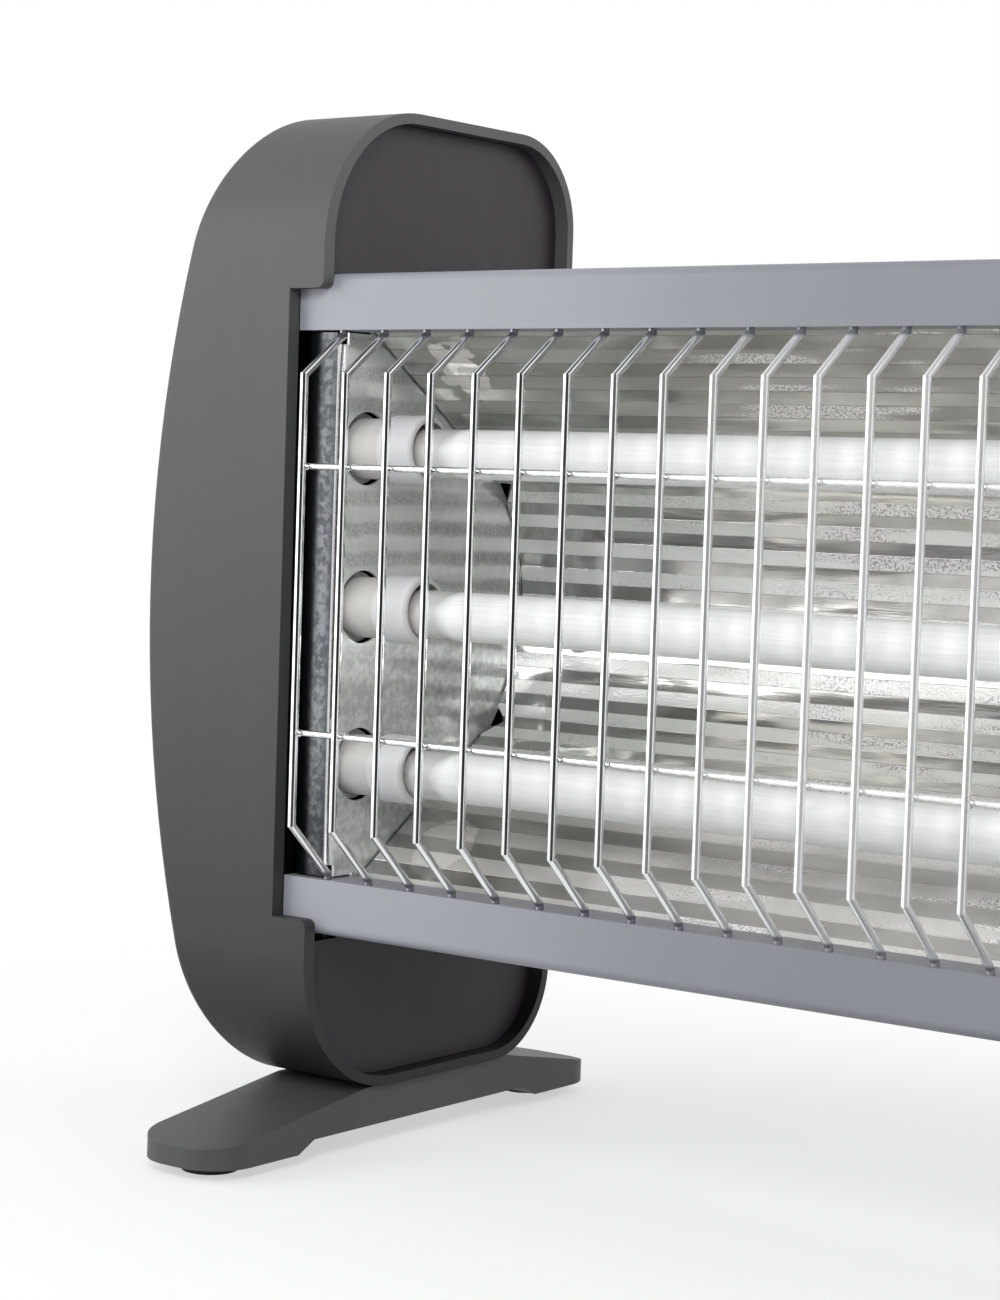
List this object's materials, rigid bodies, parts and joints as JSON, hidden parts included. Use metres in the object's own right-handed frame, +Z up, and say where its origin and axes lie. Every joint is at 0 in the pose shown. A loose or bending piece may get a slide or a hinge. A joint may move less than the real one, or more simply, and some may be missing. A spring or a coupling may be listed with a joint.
{
  "type": "quartz heater",
  "caption": "Free-standing quartz bar heater: milky tubes before a bright trough reflector, bent wire guard, plastic end caps on bar feet, rocker switches and tip-over plunger.",
  "frame": {"origin": "on the floor, under the middle of the overall box", "axes": "+X along the heater towards the end with the switches, -Y out of the guard towards the room, +Z up"},
  "size_m": [0.4288, 0.16, 0.264],
  "materials": {
    "casing_paint": "smooth satin paint on bent sheet",
    "reflector_aluminium": "bright rolled sheet with polished and embossed bands along its length",
    "galvanised_sheet": "galvanised sheet with zinc spangle",
    "guard_chrome": "bright plated wire",
    "milky_quartz": "milky quartz with fine lengthwise streaks",
    "heating_wire": "oxidised resistance wire",
    "bush_ceramic": "unglazed white steatite",
    "terminal_brass": "plain brass",
    "cap_plastic": "fine matt moulding grain",
    "cover_plastic": "matt moulded plastic",
    "foot_plastic": "matt moulded plastic",
    "pad_rubber": "matt rubber",
    "screw_steel": "zinc plated steel",
    "switch_plastic": "smooth moulded plastic",
    "rocker_plastic": "smooth moulded plastic",
    "plunger_plastic": "smooth moulded plastic",
    "block_plastic": "moulded insulating plastic"
  },
  "bodies": {
    "heater": {"casing": "casing_paint", "reflector": "reflector_aluminium", "end_plate_left": "galvanised_sheet", "end_plate_right": "galvanised_sheet", "retainer_left": "galvanised_sheet", "retainer_right": "galvanised_sheet", "guard": "guard_chrome", "tube_top": "milky_quartz", "tube_middle": "milky_quartz", "tube_bottom": "milky_quartz", "coil_top": "heating_wire", "coil_middle": "heating_wire", "coil_bottom": "heating_wire", "bush_left_top": "bush_ceramic", "bush_left_middle": "bush_ceramic", "bush_left_bottom": "bush_ceramic", "bush_right_top": "bush_ceramic", "bush_right_middle": "bush_ceramic", "bush_right_bottom": "bush_ceramic", "terminals_left": "terminal_brass", "terminals_right": "terminal_brass", "link_bar": "terminal_brass", "cap_left": "cap_plastic", "cap_right": "cap_plastic", "cover_left": "cover_plastic", "cover_right": "cover_plastic", "foot_left": "foot_plastic", "foot_right": "foot_plastic", "handle": "foot_plastic", "foot_pads": "pad_rubber", "cap_screws": "screw_steel", "foot_screws": "screw_steel", "handle_screws": "screw_steel", "switch_pin_upper": "screw_steel", "switch_pin_lower": "screw_steel", "tip_spring": "screw_steel", "switch_body_upper": "switch_plastic", "switch_body_lower": "switch_plastic", "tip_body": "switch_plastic", "cord_gland": "switch_plastic", "gland_nut": "switch_plastic", "terminal_block": "block_plastic"},
    "upper_rocker": {"rocker_upper": "rocker_plastic"},
    "lower_rocker": {"rocker_lower": "rocker_plastic"},
    "plunger": {"tip_plunger": "plunger_plastic"}
  },
  "joints": [
    {"name": "upper_rocker_tilt", "type": "hinge", "parent": "heater", "child": "upper_rocker", "pos_m": [0.19145, -0.0495, 0.16], "axis": [-1, 0, 0], "range_deg": [0, 20]},
    {"name": "lower_rocker_tilt", "type": "hinge", "parent": "heater", "child": "lower_rocker", "pos_m": [0.19145, -0.0495, 0.12], "axis": [-1, 0, 0], "range_deg": [0, 20]},
    {"name": "plunger_slide", "type": "slide", "parent": "heater", "child": "plunger", "axis": [0, 0, -1], "range_m": [0, 0.005], "stiffness_N_per_m": 150, "springref_m": 0.007, "deforming": ["tip_spring"]}
  ]
}
